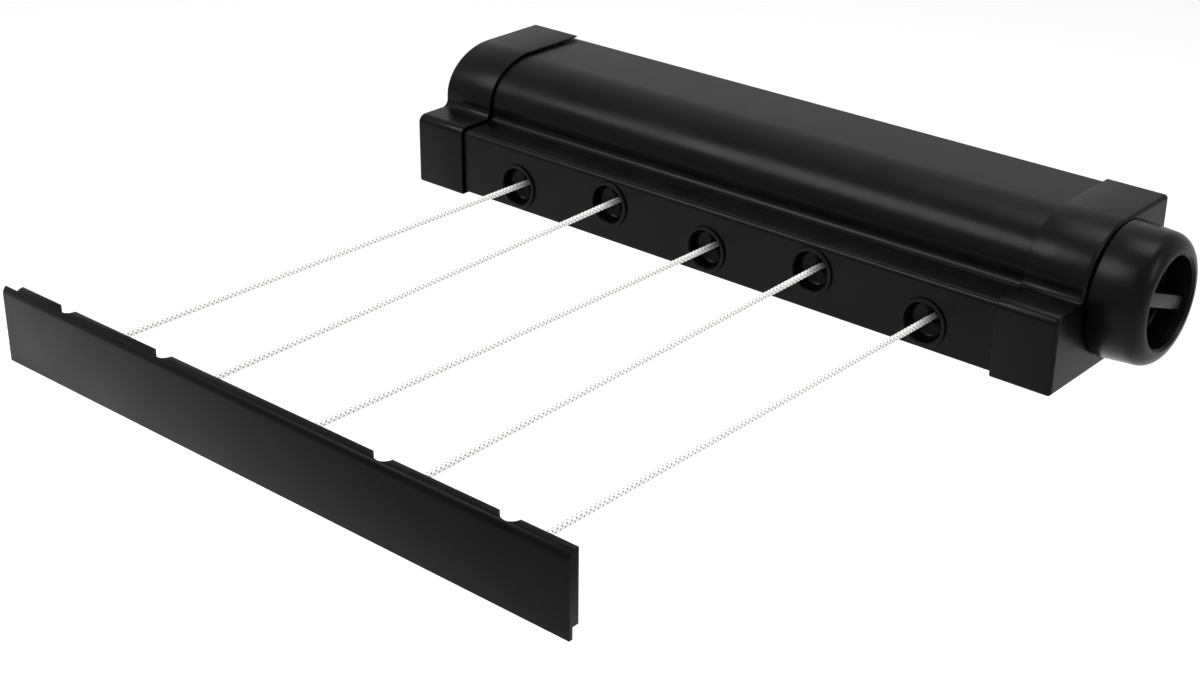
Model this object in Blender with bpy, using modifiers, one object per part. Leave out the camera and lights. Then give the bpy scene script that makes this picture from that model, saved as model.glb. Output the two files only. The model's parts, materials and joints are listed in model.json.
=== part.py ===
"""Wall-mounted retractable clothesline: five lines on one sprung drum, drawn out by a pull bar.

Frame: origin at the middle of the flat wall face, +X to the knob end, -Y out from the wall
towards the pull bar, +Z up.  Metres throughout.
"""
import math

import bmesh
import bpy
from mathutils import Matrix, Vector

# ---------------------------------------------------------------- driving dimensions
GAP = 0.0003                     # clearance kept between touching pieces

HOUSING_LENGTH = 0.380
HOUSING_DEPTH = 0.091
HOUSING_HEIGHT = 0.066
LEDGE_HEIGHT = 0.037             # height of the square front part below the barrel
LEDGE_EDGE_RADIUS = 0.0045
BOTTOM_EDGE_RADIUS = 0.0012
BARREL_FRONT = 0.0215            # depth of the ledge in front of the barrel
BARREL_SHOULDER = 0.042          # height at which the barrel's front starts to curve back
BARREL_DEPTH_RADIUS = 0.032
LEDGE_FILLET = 0.004

LEFT_CAP_WIDTH = 0.032
RIGHT_CAP_WIDTH = 0.030
CAP_WALL = 0.0015
CAP_END_WALL = 0.003
CAP_END_ROUNDING = 0.0018
COVER_WALL = 0.0024
COVER_LAP = 0.004                # how far the cover runs into each cap
BASE_THICKNESS = 0.003

DRUM_AXIS_DEPTH = 0.038          # drum axis in front of the wall
DRUM_AXIS_HEIGHT = 0.001         # drum axis above the middle of the wall face
SHAFT_RADIUS = 0.004
SHAFT_LEFT_END = -0.1795
SHAFT_RIGHT_END = 0.1720
BULKHEAD_THICKNESS = 0.003
BUSH_RADIUS = 0.0067
BUSH_FLANGE_RADIUS = 0.009
BUSH_FLANGE = 0.001

LINE_COUNT = 5
LINE_SPACING = 0.061
LINE_CENTRE_X = 0.0025           # middle line, a little towards the knob end
EXIT_HEIGHTS = (-0.0185, -0.0118, -0.0185, -0.0118, -0.0185)   # the exits are staggered
LINE_BAR_HEIGHT = -0.015
LINE_RADIUS = 0.0015
LINE_RUN_SHARES = (1.0, 0.5, 0.12)   # points of the straight run from winding to guide

SPOOL_WIDTH = 0.036
SPOOL_FLANGE_RADIUS = 0.0220
SPOOL_FLANGE = 0.0015
SPOOL_CORE_RADIUS = 0.0086
SPOOL_HUB_RADIUS = 0.0065
WINDING_RADIUS = 0.0206

GUIDE_FLANGE_RADIUS = 0.0115
GUIDE_BODY_RADIUS = 0.0102
GUIDE_DEPTH = 0.009
GUIDE_BORE = 0.0023
GUIDE_BORE_LENGTH = 0.0015       # straight part of the bore, at the back
GUIDE_THROAT_RADIUS = 0.0040     # where the bore opens into the dish
GUIDE_DISH_RADIUS = 0.0085       # dish at its floor
GUIDE_MOUTH_RADIUS = 0.0095      # dish where it meets the cover's front
GUIDE_LIP = 0.0008

SPRING_CUP_RADIUS = 0.022
SPRING_CUP_WALL = 0.0015
SPRING_CUP_START = -0.1823
SPRING_CUP_END = -0.1660
SPRING_STRIP = 0.0005
SPRING_INNER = 0.0064
SPRING_OUTER = 0.0196
SPRING_TURNS = 6
SPRING_SIDE_GAP = 0.001          # spring strip clear of the cup's floor and mouth
ARBOR_RADIUS = 0.0055

RATCHET_START = 0.1680
RATCHET_END = 0.1715
RATCHET_RADIUS = 0.016
RATCHET_TEETH = 24
RATCHET_TOOTH = 0.0025
RATCHET_LEAD = 0.10              # a tooth's flank ahead of the pawl's tip, in teeth

PAWL_PIVOT = (-0.077, -0.0038)    # (y, z) of the pawl's pin
PAWL_PIN_RADIUS = 0.002
PAWL_PIN_END = 0.1800
PAWL_EYE_RADIUS = 0.0038
PAWL_NECK = (0.012, -0.0010)     # corners of the arm from the pivot, pawl swung clear
PAWL_BELLY = (0.012, -0.0085)
PAWL_HEEL = (-0.006, -0.0045)    # corner behind the tip, from the tip in mesh
PAWL_TIP = (-0.0511, -0.0082)    # (y, z) of the tip in mesh with the ratchet
PAWL_SWING = math.radians(10.0)
PAWL_PEG = (0.020, -0.008)       # peg from the pivot, pawl swung clear
PAWL_PEG_RADIUS = 0.0015
KNOB_SWING = math.radians(60.0)

PAWL_SPRING_TURNS = 3
PAWL_SPRING_RADIUS = 0.0032
PAWL_SPRING_WIRE = 0.00035
PAWL_SPRING_PITCH = 0.0011
PAWL_SPRING_UPPER_LEG = 0.0045
PAWL_SPRING_LOWER_LEG = 0.009

CAM_START = 0.1750
CAM_END = 0.1785
CAM_LOW_RADIUS = 0.0160
CAM_STEP_IN = 8.0                # degrees from the high edge to the low one, at each end
CAM_STEP_OUT = 22.0
CAM_SCREW_RADIUS = 0.0015
CAM_SCREW_HEAD = 0.0070
CAM_SCREW_HEAD_THICKNESS = 0.0018
CAM_SCREW_DEPTH = 0.0085         # shank's reach into the knob's stem

KNOB_BASE_RADIUS = 0.0315
KNOB_FACE_RADIUS = 0.0302
KNOB_DEPTH = 0.025
KNOB_RIM_RADIUS = 0.008
KNOB_FLOOR = 0.012
KNOB_RIB_ANGLE = math.radians(-21.0)
KNOB_RIB_WIDTH = 0.007
KNOB_RIB_DROP = 0.003            # rib's top below the face
KNOB_RIB_END_GAP = 0.0022        # rib's ends inside the rim's inner edge
KNOB_WELL_TAPER = 0.003
KNOB_LIP = 0.0012                # step from the well's wall to the rim
KNOB_CLEARANCE = 0.0005          # knob's back clear of the cap
KNOB_WALL = 0.0026               # skirt at the open back
KNOB_WEB = 0.0035                # thickness behind the well's floor
STEM_RADIUS = 0.006
STEM_CLEARANCE = 0.0004
STEM_FILLET = 0.0020
STEM_SCREW_HOLE = (0.0018, 0.010)    # radius and depth
BOSS_RADIUS = 0.010              # boss inside the right cap that carries the stem

BAR_LENGTH = 0.322
BAR_CENTRE_X = 0.0004
BAR_FRONT_Y = -0.367
BAR_THICKNESS = 0.0048
BAR_BOTTOM = -0.0293
BAR_TOP = 0.0063
BAR_LIP = 0.005                  # front plate hangs this far below the box
BAR_LIP_THICKNESS = 0.0018
BAR_TOP_ROUNDING = 0.0044
BAR_FRONT_WALL = 0.0014
BAR_RIM = 0.0018
BAR_TOP_RIM = 0.0078             # solid rail along the top, deep enough for the grooves
BAR_END_STEP = 0.0085            # the front plate runs on past the box at the left end
BAR_BACK_THICKNESS = 0.0016
NOTCH_CENTRE_X = 0.005           # the four notches are half-round grooves in the bar's back
NOTCH_OFFSETS = (-0.1252, -0.0626, 0.0626, 0.1252)
NOTCH_HALF_WIDTH = 0.0049
NOTCH_REACH = 0.0030             # how far a notch runs in from the back
NOTCH_DEPTH = 0.0060             # how far it runs down from the top edge
SCOOP_PLACES = (-0.0764, 0.0979)     # shallow hollows in the bar's front top edge
SCOOP_RADIUS = 0.009
SCOOP_CENTRE = (-0.002, 0.0072)  # (y, z) of the ball's centre from the bar's front top corner
STOP_RADIUS = 0.004
STOP_THICKNESS = 0.0011

CASE_SCREW_X = 0.180
CASE_SCREW_Z = 0.0212
CASE_SCREW_RADIUS = 0.00125
CASE_SCREW_HEAD = 0.0026
CASE_SCREW_LENGTH = 0.011
CASE_SCREW_SINK = -0.0004        # head's top below the wall face
CASE_SCREW_CONE = 0.0012
SCREW_BLOCK_HALF = 0.0042        # block in each cap that takes a case screw
SCREW_BLOCK_REACH = 0.0045       # block's inner face from the screw
SCREW_BLOCK_TIP = 0.002          # material past the screw's point
KEYHOLE_X = 0.120
KEYHOLE_Z = 0.010
KEYHOLE_HEAD_RADIUS = 0.0050
KEYHOLE_SLOT_RADIUS = 0.0027
KEYHOLE_RISE = 0.011

# ---------------------------------------------------------------- places worked out from them
FRONT_Y = -HOUSING_DEPTH
BOTTOM_Z = -HOUSING_HEIGHT / 2
LEFT_END = -HOUSING_LENGTH / 2
RIGHT_END = HOUSING_LENGTH / 2
LEFT_CAP_EDGE = LEFT_END + LEFT_CAP_WIDTH
RIGHT_CAP_EDGE = RIGHT_END - RIGHT_CAP_WIDTH
AXIS_Y = -DRUM_AXIS_DEPTH
AXIS_Z = DRUM_AXIS_HEIGHT
COVER_INSET = CAP_WALL + GAP
COVER_START = LEFT_CAP_EDGE - COVER_LAP
COVER_END = RIGHT_CAP_EDGE + COVER_LAP
COVER_FRONT_Y = FRONT_Y + COVER_INSET
BASE_TOP = HOUSING_HEIGHT / 2 - COVER_INSET - COVER_WALL - GAP
LEFT_BULKHEAD = COVER_START - GAP - BULKHEAD_THICKNESS
RIGHT_BULKHEAD = COVER_END + GAP
BAR_REAR_Y = BAR_FRONT_Y + BAR_THICKNESS
BAR_LEFT = BAR_CENTRE_X - BAR_LENGTH / 2
BAR_RIGHT = BAR_CENTRE_X + BAR_LENGTH / 2
BAR_BOX_BOTTOM = BAR_BOTTOM + BAR_LIP
BAR_BOX_LEFT = BAR_LEFT + BAR_END_STEP
STOP_Y = BAR_REAR_Y - BAR_BACK_THICKNESS - GAP
AXLE = (0.0, AXIS_Y, AXIS_Z)
ROUND_STEPS = 20
CUT_MARGIN = 0.004               # how far a cutter runs past the faces it cuts

# Local X, Y, Z of a flat outline laid square to each world axis.
LAY_ALONG = {
    "X": Matrix(((0, 0, 1), (1, 0, 0), (0, 1, 0))).to_4x4(),
    "Y": Matrix(((1, 0, 0), (0, 0, -1), (0, 1, 0))).to_4x4(),
}


# ---------------------------------------------------------------- scene and materials
def clear_scene():
    for old in list(bpy.data.objects):
        bpy.data.objects.remove(old, do_unlink=True)


def new_collection(name):
    group = bpy.data.collections.new(name)
    bpy.context.scene.collection.children.link(group)
    return group


FINISHES = {
    "black_plastic": ((0.012, 0.012, 0.013), 0.32, 0.0),
    "inner_plastic": ((0.05, 0.05, 0.055), 0.5, 0.0),
    "white_line": ((0.86, 0.86, 0.84), 0.7, 0.0),
    "steel": ((0.55, 0.56, 0.58), 0.3, 1.0),
    "spring_steel": ((0.30, 0.32, 0.36), 0.35, 1.0),
    "acetal": ((0.85, 0.84, 0.80), 0.4, 0.0),
}


def finish_material(node_name, finish):
    colour, roughness, metallic = FINISHES[finish]
    material = bpy.data.materials.new(node_name + "_" + finish)
    material.use_nodes = True
    shader = material.node_tree.nodes["Principled BSDF"]
    shader.inputs["Base Color"].default_value = (*colour, 1.0)
    shader.inputs["Roughness"].default_value = roughness
    shader.inputs["Metallic"].default_value = metallic
    return material


def add_object(name, mesh, finish, location=(0.0, 0.0, 0.0), smooth_angle=35.0):
    """Link a part whose mesh is given in world places, with its origin at location."""
    mesh.transform(Matrix.Translation(location).inverted())
    part = bpy.data.objects.new(name, mesh)
    part.location = location
    PARTS.objects.link(part)
    mesh.materials.clear()
    mesh.materials.append(finish_material(name, finish))
    mesh.shade_smooth()
    mesh.set_sharp_from_angle(angle=math.radians(smooth_angle))
    return part


# ---------------------------------------------------------------- shape tools
def arc(centre, radii, start, end, count):
    """Points round a circle or ellipse, angles in degrees, both ends included."""
    points = []
    for i in range(count + 1):
        angle = math.radians(start + (end - start) * i / count)
        points.append((centre[0] + radii[0] * math.cos(angle), centre[1] + radii[1] * math.sin(angle)))
    return points


def round_point(centre, radius, angle):
    return centre[0] + radius * math.cos(angle), centre[1] + radius * math.sin(angle)


def circle(centre, radius, count=16):
    return arc(centre, (radius, radius), 0, 360, count)[:-1]


def rectangle(x0, z0, x1, z1):
    return [(x0, z0), (x1, z0), (x1, z1), (x0, z1)]


def close_mesh(mesh, merge=1e-6):
    shape = bmesh.new()
    shape.from_mesh(mesh)
    bmesh.ops.remove_doubles(shape, verts=shape.verts, dist=merge)
    bmesh.ops.recalc_face_normals(shape, faces=shape.faces)
    shape.to_mesh(mesh)
    shape.free()
    return mesh


def curve_mesh(curve, matrix):
    """Evaluate a curve, weld its loose caps and lay it by matrix."""
    holder = bpy.data.objects.new(curve.name, curve)
    bpy.context.scene.collection.objects.link(holder)
    graph = bpy.context.evaluated_depsgraph_get()
    mesh = bpy.data.meshes.new_from_object(holder.evaluated_get(graph))
    bpy.data.objects.remove(holder, do_unlink=True)
    close_mesh(mesh)
    mesh.transform(matrix)
    return mesh


def slab(loops, along, start, end):
    """A flat outline with holes, as thick as start to end along world X or Y."""
    curve = bpy.data.curves.new("outline", "CURVE")
    curve.dimensions = "2D"
    curve.fill_mode = "BOTH"
    curve.extrude = abs(end - start) / 2
    for loop in loops:
        spline = curve.splines.new("POLY")
        spline.points.add(len(loop) - 1)
        spline.use_cyclic_u = True
        for point, place in zip(spline.points, loop):
            point.co = (place[0], place[1], 0.0, 1.0)
    middle = (start + end) / 2
    shift = (middle, 0, 0) if along == "X" else (0, middle, 0)
    return curve_mesh(curve, Matrix.Translation(shift) @ LAY_ALONG[along])


def turned(profile, centre, along, steps=ROUND_STEPS):
    """Turn a closed profile of (radius, place along +X or +Y) about an axis through centre."""
    mesh = bpy.data.meshes.new("turned")
    points = [(radius, 0.0, height) for radius, height in profile]
    edges = [(i, i + 1) for i in range(len(points) - 1)]
    if profile[0][0] > 0:
        edges.append((len(points) - 1, 0))
    mesh.from_pydata(points, edges, [])
    holder = bpy.data.objects.new("turned", mesh)
    bpy.context.scene.collection.objects.link(holder)
    screw = holder.modifiers.new("Turn", "SCREW")
    screw.steps = steps
    screw.render_steps = steps
    screw.use_merge_vertices = True
    screw.merge_threshold = 0.00001
    graph = bpy.context.evaluated_depsgraph_get()
    result = bpy.data.meshes.new_from_object(holder.evaluated_get(graph))
    bpy.data.objects.remove(holder, do_unlink=True)
    close_mesh(result)
    quarter = math.radians(90)
    lay = Matrix.Rotation(quarter, 4, "Y") if along == "X" else Matrix.Rotation(-quarter, 4, "X")
    result.transform(Matrix.Translation(centre) @ lay)
    return result


def axle_mesh(profile, steps=ROUND_STEPS):
    """A piece turned about the drum's axis, its places along the axis in world x."""
    return turned(profile, AXLE, "X", steps)


def cylinder(radius, centre, along, start, end, steps=ROUND_STEPS):
    """Plain cylinder from start to end, counted from centre along world +X or +Y."""
    quarter = math.radians(90)
    if along == "X":
        lay = Matrix.Rotation(quarter, 4, "Y")
        shift = Vector(((start + end) / 2, 0.0, 0.0))
    else:
        lay = Matrix.Rotation(-quarter, 4, "X")
        shift = Vector((0.0, (start + end) / 2, 0.0))
    shape = bmesh.new()
    bmesh.ops.create_cone(shape, cap_ends=True, segments=steps, radius1=radius, radius2=radius,
                          depth=end - start, matrix=Matrix.Translation(Vector(centre) + shift) @ lay)
    return finished_mesh(shape)


def ball(radius, centre):
    shape = bmesh.new()
    bmesh.ops.create_uvsphere(shape, u_segments=24, v_segments=12, radius=radius,
                              matrix=Matrix.Translation(centre))
    return finished_mesh(shape)


def box(x0, x1, y0, y1, z0, z1):
    middle = Matrix.Translation(((x0 + x1) / 2, (y0 + y1) / 2, (z0 + z1) / 2))
    shape = bmesh.new()
    bmesh.ops.create_cube(shape, size=1.0, matrix=middle @ Matrix.Diagonal((x1 - x0, y1 - y0, z1 - z0, 1.0)))
    return finished_mesh(shape)


def finished_mesh(shape):
    mesh = bpy.data.meshes.new("shape")
    shape.to_mesh(mesh)
    shape.free()
    return mesh


def ring(outer, inner, start, end):
    """Profile of a plain tube for turned()."""
    return [(outer, end), (outer, start), (inner, start), (inner, end)]


def wire_tube(name, points, radius, resolution=2):
    """A tube along points, with filled caps."""
    curve = bpy.data.curves.new(name, "CURVE")
    curve.dimensions = "3D"
    curve.bevel_depth = radius
    curve.bevel_resolution = resolution
    curve.use_fill_caps = True
    spline = curve.splines.new("POLY")
    spline.points.add(len(points) - 1)
    for point, place in zip(spline.points, points):
        point.co = (*place, 1.0)
    return curve_mesh(curve, Matrix.Identity(4))


def cut(part, mesh, operation="DIFFERENCE"):
    """Cut mesh out of part, or join it on, with a Boolean modifier."""
    cutter = bpy.data.objects.new(part.name + "_cutter", mesh)
    CUTTERS.objects.link(cutter)
    cutter.hide_render = True
    cutter.display_type = "WIRE"
    step = part.modifiers.new("Cut", "BOOLEAN")
    step.operation = operation
    step.solver = "EXACT"
    step.object = cutter


def join(part, mesh):
    cut(part, mesh, "UNION")


# ---------------------------------------------------------------- housing
def housing_outline(inset, rear=0.0):
    """Outline of the housing in (y, z): square front part, ledge, barrel, flat back."""
    front = FRONT_Y + inset
    bottom = BOTTOM_Z + inset
    ledge_top = BOTTOM_Z + LEDGE_HEIGHT - inset
    low = max(BOTTOM_EDGE_RADIUS - inset, 0.0006)
    edge = max(LEDGE_EDGE_RADIUS - inset, 0.0006)
    barrel_front = FRONT_Y + BARREL_FRONT + inset
    fillet = (barrel_front - LEDGE_FILLET, ledge_top + LEDGE_FILLET)
    barrel = (FRONT_Y + BARREL_FRONT + BARREL_DEPTH_RADIUS, BOTTOM_Z + BARREL_SHOULDER)
    barrel_rise = HOUSING_HEIGHT - BARREL_SHOULDER - inset
    points = [(rear, bottom)]
    points += arc((front + low, bottom + low), (low, low), 270, 180, 3)
    points += arc((front + edge, ledge_top - edge), (edge, edge), 180, 90, 4)
    points += arc(fillet, (LEDGE_FILLET, LEDGE_FILLET), -90, 0, 3)
    points += arc(barrel, (BARREL_DEPTH_RADIUS - inset, barrel_rise), 180, 90, 9)
    points.append((rear, BOTTOM_Z + HOUSING_HEIGHT - inset))
    return points


def round_end_edges(mesh, end_x):
    """Round the edges of the closed end of a cap."""
    shape = bmesh.new()
    shape.from_mesh(mesh)
    rim = []
    for edge in shape.edges:
        on_end = all(abs(v.co.x - end_x) < 1e-6 for v in edge.verts)
        if on_end and edge.calc_face_angle(0.0) > math.radians(60):
            rim.append(edge)
    bmesh.ops.bevel(shape, geom=rim, offset=CAP_END_ROUNDING, segments=3, profile=0.5, affect="EDGES")
    shape.to_mesh(mesh)
    shape.free()
    return mesh


def case_screw_places(side):
    """(x, z) of the two case screws in the cap on the given side."""
    return [(side * CASE_SCREW_X, z) for z in (CASE_SCREW_Z, -CASE_SCREW_Z)]


def make_cap(name, outer_end, inner_edge, side):
    mesh = slab([housing_outline(0.0)], "X", min(outer_end, inner_edge), max(outer_end, inner_edge))
    part = add_object(name, round_end_edges(mesh, outer_end), "black_plastic")
    floor = outer_end - side * CAP_END_WALL
    past = inner_edge - side * CUT_MARGIN
    pocket = housing_outline(CAP_WALL, rear=CUT_MARGIN)
    cut(part, slab([pocket], "X", min(floor, past), max(floor, past)))
    block_rear = -BASE_THICKNESS - GAP
    block_front = block_rear - CASE_SCREW_LENGTH - SCREW_BLOCK_TIP
    for x, z in case_screw_places(side):
        sides = (outer_end - side * CAP_END_WALL / 2, x - side * SCREW_BLOCK_REACH)
        low, high = z - SCREW_BLOCK_HALF, z + SCREW_BLOCK_HALF
        join(part, box(min(sides), max(sides), block_front, block_rear, low, high))
        hole_end = -CASE_SCREW_LENGTH - SCREW_BLOCK_TIP / 2
        cut(part, cylinder(CASE_SCREW_RADIUS + GAP, (x, 0, z), "Y", hole_end, 0.0, 10))
    return part


def make_housing():
    make_cap("left_cap", LEFT_END, LEFT_CAP_EDGE, -1)
    right = make_cap("right_cap", RIGHT_END, RIGHT_CAP_EDGE, 1)
    inner_face = RIGHT_END - CAP_END_WALL
    boss_end = inner_face + CAP_END_WALL / 2
    join(right, cylinder(BOSS_RADIUS, AXLE, "X", CAM_END + 2 * GAP, boss_end))
    bore = STEM_RADIUS + STEM_CLEARANCE
    cut(right, cylinder(bore, AXLE, "X", CAM_END - CUT_MARGIN, RIGHT_END + CUT_MARGIN))
    make_front_cover()
    make_base_plate()


def line_places():
    middle = (LINE_COUNT - 1) / 2
    return [LINE_CENTRE_X + (i - middle) * LINE_SPACING for i in range(LINE_COUNT)]


def guide_seats():
    """Where each line leaves the cover's front face."""
    return [(x, COVER_FRONT_Y, z) for x, z in zip(line_places(), EXIT_HEIGHTS)]


def make_front_cover():
    outer = housing_outline(COVER_INSET)
    inner = housing_outline(COVER_INSET + COVER_WALL)
    mesh = slab([outer + inner[::-1]], "X", COVER_START, COVER_END)
    part = add_object("front_cover", mesh, "black_plastic")
    for seat in guide_seats():
        cut(part, cylinder(GUIDE_BODY_RADIUS + GAP, seat, "Y", -CUT_MARGIN, COVER_WALL + CUT_MARGIN))


def keyhole(x):
    """Outline of a keyhole slot, narrow end up."""
    rise = math.sqrt(KEYHOLE_HEAD_RADIUS ** 2 - KEYHOLE_SLOT_RADIUS ** 2)
    open_angle = math.degrees(math.atan2(rise, KEYHOLE_SLOT_RADIUS))
    head_radii = (KEYHOLE_HEAD_RADIUS, KEYHOLE_HEAD_RADIUS)
    slot_radii = (KEYHOLE_SLOT_RADIUS, KEYHOLE_SLOT_RADIUS)
    head = arc((x, KEYHOLE_Z), head_radii, 180 - open_angle, 360 + open_angle, 12)
    slot = arc((x, KEYHOLE_Z + KEYHOLE_RISE), slot_radii, 0, 180, 6)
    return head + slot


def make_base_plate():
    """Back of the housing, which lies flat on the wall and hangs on two screws."""
    half = HOUSING_LENGTH / 2 - CAP_END_WALL - GAP
    loops = [rectangle(-half, -BASE_TOP, half, BASE_TOP)]
    loops += [keyhole(-KEYHOLE_X), keyhole(KEYHOLE_X)]
    part = add_object("base_plate", slab(loops, "Y", -BASE_THICKNESS, 0.0), "inner_plastic")
    for side in (-1, 1):
        for x, z in case_screw_places(side):
            cut(part, turned(case_screw_profile(GAP, CUT_MARGIN), (x, 0, z), "Y", 12))


def case_screw_profile(clearance, past):
    """Countersunk screw driven in from the back, head just below the wall face."""
    shank = CASE_SCREW_RADIUS + clearance
    head = CASE_SCREW_HEAD + clearance
    top = CASE_SCREW_SINK + past
    tip = -CASE_SCREW_LENGTH - past
    return [
        (0.0, top),
        (head, top),
        (head, CASE_SCREW_SINK - clearance),
        (shank, CASE_SCREW_SINK - CASE_SCREW_CONE - clearance),
        (shank, tip),
        (0.0, tip),
    ]


def make_case_screws():
    number = 1
    for side in (-1, 1):
        for x, z in case_screw_places(side):
            mesh = turned(case_screw_profile(0.0, 0.0), (x, 0, z), "Y", 12)
            add_object("case_screw_%d" % number, mesh, "steel")
            number += 1


def make_guides():
    """Eyelets that lead each line out through the cover's front."""
    lip_face = -GAP - GUIDE_LIP
    chamfer = GUIDE_LIP / 2
    profile = [
        (GUIDE_FLANGE_RADIUS, -GAP),
        (GUIDE_BODY_RADIUS, -GAP),
        (GUIDE_BODY_RADIUS, GUIDE_DEPTH),
        (GUIDE_BORE, GUIDE_DEPTH),
        (GUIDE_BORE, GUIDE_DEPTH - GUIDE_BORE_LENGTH),
        (GUIDE_THROAT_RADIUS, GUIDE_DEPTH - GUIDE_BORE_LENGTH - 0.0013),
        (GUIDE_DISH_RADIUS, GUIDE_DEPTH - GUIDE_BORE_LENGTH - 0.0020),
        (GUIDE_MOUTH_RADIUS, 0.0),
        (GUIDE_BODY_RADIUS, lip_face),
        (GUIDE_FLANGE_RADIUS - chamfer, lip_face),
        (GUIDE_FLANGE_RADIUS, lip_face + chamfer),
    ]
    for i, seat in enumerate(guide_seats()):
        mesh = turned(profile, seat, "Y", 18)
        add_object("line_guide_%d" % (i + 1), mesh, "black_plastic")


# ---------------------------------------------------------------- drum and its bearings
def make_bearings():
    for name, start, flange_side in (("left", LEFT_BULKHEAD, 1), ("right", RIGHT_BULKHEAD, -1)):
        end = start + BULKHEAD_THICKNESS
        outline = housing_outline(CAP_WALL + GAP, rear=-BASE_THICKNESS - GAP)
        loops = [outline, circle((AXIS_Y, AXIS_Z), BUSH_RADIUS + GAP, ROUND_STEPS)]
        add_object(name + "_bulkhead", slab(loops, "X", start, end), "inner_plastic")
        bore = SHAFT_RADIUS + GAP
        if flange_side > 0:
            far, face = start, end + GAP
        else:
            far, face = end, start - GAP
        flange_face = face + flange_side * BUSH_FLANGE
        profile = [
            (BUSH_FLANGE_RADIUS, flange_face),
            (BUSH_FLANGE_RADIUS, face),
            (BUSH_RADIUS, face),
            (BUSH_RADIUS, far),
            (bore, far),
            (bore, flange_face),
        ]
        add_object(name + "_bush", axle_mesh(profile, 16), "acetal")


def make_drum():
    shaft = cylinder(SHAFT_RADIUS, AXLE, "X", SHAFT_LEFT_END, SHAFT_RIGHT_END, 16)
    add_object("drum_shaft", shaft, "steel", AXLE)
    bore = SHAFT_RADIUS + GAP
    half = SPOOL_WIDTH / 2
    hub = LINE_SPACING / 2 - GAP
    for i, x in enumerate(line_places()):
        spool = [
            (SPOOL_HUB_RADIUS, x + hub),
            (SPOOL_HUB_RADIUS, x + half),
            (SPOOL_FLANGE_RADIUS, x + half),
            (SPOOL_FLANGE_RADIUS, x + half - SPOOL_FLANGE),
            (SPOOL_CORE_RADIUS, x + half - SPOOL_FLANGE),
            (SPOOL_CORE_RADIUS, x - half + SPOOL_FLANGE),
            (SPOOL_FLANGE_RADIUS, x - half + SPOOL_FLANGE),
            (SPOOL_FLANGE_RADIUS, x - half),
            (SPOOL_HUB_RADIUS, x - half),
            (SPOOL_HUB_RADIUS, x - hub),
            (bore, x - hub),
            (bore, x + hub),
        ]
        add_object("spool_%d" % (i + 1), axle_mesh(spool), "inner_plastic", AXLE)
        side = half - SPOOL_FLANGE - GAP
        winding = ring(WINDING_RADIUS, SPOOL_CORE_RADIUS + GAP, x - side, x + side)
        add_object("winding_%d" % (i + 1), axle_mesh(winding), "white_line", AXLE)


def make_mainspring():
    """Flat spiral spring in its cup, which winds the drum back."""
    floor = SPRING_CUP_START + SPRING_CUP_WALL
    inner = SPRING_CUP_RADIUS - SPRING_CUP_WALL
    cup = [
        (0.0, floor),
        (inner, floor),
        (inner, SPRING_CUP_END),
        (SPRING_CUP_RADIUS, SPRING_CUP_END),
        (SPRING_CUP_RADIUS, SPRING_CUP_START),
        (0.0, SPRING_CUP_START),
    ]
    add_object("spring_cup", axle_mesh(cup, 24), "inner_plastic")
    arbor = ring(ARBOR_RADIUS, SHAFT_RADIUS + GAP, SHAFT_LEFT_END, SPRING_CUP_END - SPRING_SIDE_GAP / 2)
    add_object("spring_arbor", axle_mesh(arbor, 16), "steel", AXLE)
    outer_side = []
    inner_side = []
    steps = SPRING_TURNS * 18
    for i in range(steps + 1):
        angle = 2 * math.pi * SPRING_TURNS * i / steps
        radius = SPRING_INNER + (SPRING_OUTER - SPRING_INNER) * i / steps
        outer_side.append(round_point((AXIS_Y, AXIS_Z), radius + SPRING_STRIP, angle))
        inner_side.append(round_point((AXIS_Y, AXIS_Z), radius, angle))
    loop = outer_side + inner_side[::-1]
    strip = slab([loop], "X", floor + SPRING_SIDE_GAP, SPRING_CUP_END - SPRING_SIDE_GAP)
    add_object("mainspring", strip, "spring_steel")


# ---------------------------------------------------------------- lock
def turn_point(point, angle):
    y = point[0] * math.cos(angle) - point[1] * math.sin(angle)
    z = point[0] * math.sin(angle) + point[1] * math.cos(angle)
    return y, z


def make_ratchet():
    centre = (AXIS_Y, AXIS_Z)
    tooth = 2 * math.pi / RATCHET_TEETH
    tip_angle = math.atan2(PAWL_TIP[1] - AXIS_Z, PAWL_TIP[0] - AXIS_Y)
    outline = []
    for i in range(RATCHET_TEETH):
        flank = tip_angle + (i - RATCHET_LEAD) * tooth
        outline.append(round_point(centre, RATCHET_RADIUS - RATCHET_TOOTH, flank))
        outline.append(round_point(centre, RATCHET_RADIUS, flank))
    bore = circle(centre, SHAFT_RADIUS + GAP)
    add_object("ratchet_wheel", slab([outline, bore], "X", RATCHET_START, RATCHET_END), "acetal", AXLE)


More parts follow.
